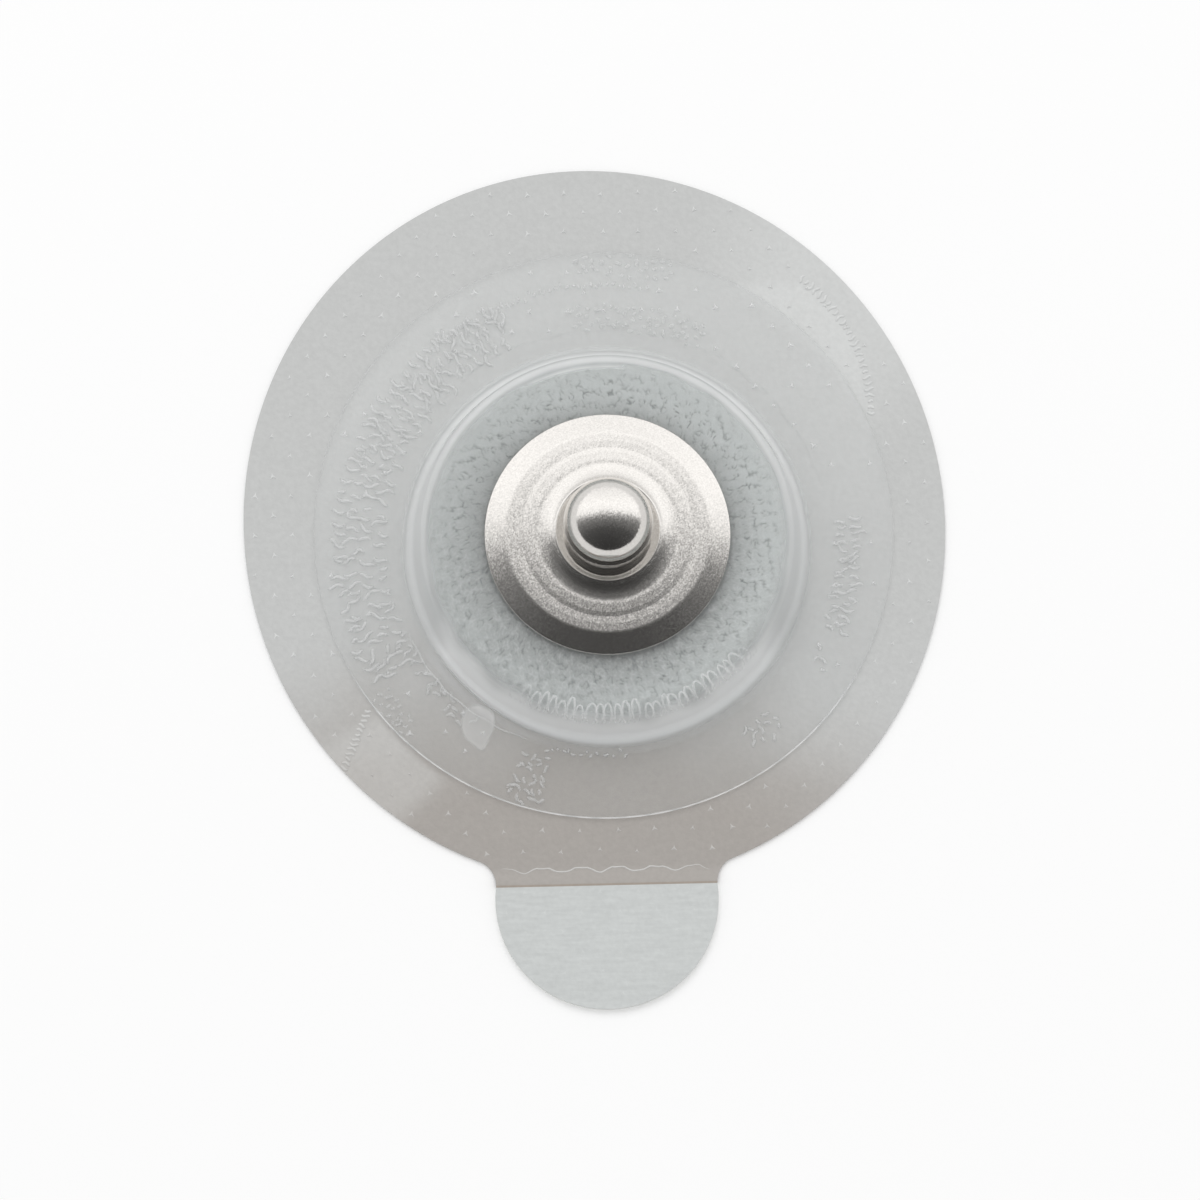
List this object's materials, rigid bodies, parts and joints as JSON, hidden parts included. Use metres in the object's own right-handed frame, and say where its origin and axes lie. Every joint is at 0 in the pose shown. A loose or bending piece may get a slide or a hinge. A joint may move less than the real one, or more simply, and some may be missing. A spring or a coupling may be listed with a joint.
{
  "type": "ecg electrode",
  "caption": "Disposable snap electrode: oval clear adhesive film with a grip tab, a clear cover disc domed over a gel sponge, and a flanged metal snap stud for a lead wire.",
  "frame": {"origin": "where the stud's axis meets the plane of the skin side", "axes": "+Z out of the skin through the stud, -Y from the stud towards the grip tab, +X to the right seen from above with the tab nearest the viewer"},
  "size_m": [0.0316, 0.0386, 0.0071],
  "materials": {
    "tape_film": "clear perforated polyethylene tape, grey and hazy, faintly glossy",
    "white_paper": "plain white paper",
    "cover_film": "smooth clear film with a soft gloss",
    "gel_foam": "wet white open-cell foam",
    "silver_chloride_coat": "dull grey silver and silver-chloride coat on moulded plastic",
    "nickel_plate": "nickel plate, bright on the head and satin on the flange"
  },
  "bodies": {
    "root": {"backing_tape": "tape_film", "tab_paper": "white_paper", "cover_disc": "cover_film", "gel_sponge": "gel_foam", "sensor_eyelet": "silver_chloride_coat", "snap_stud": "nickel_plate"}
  },
  "joints": []
}
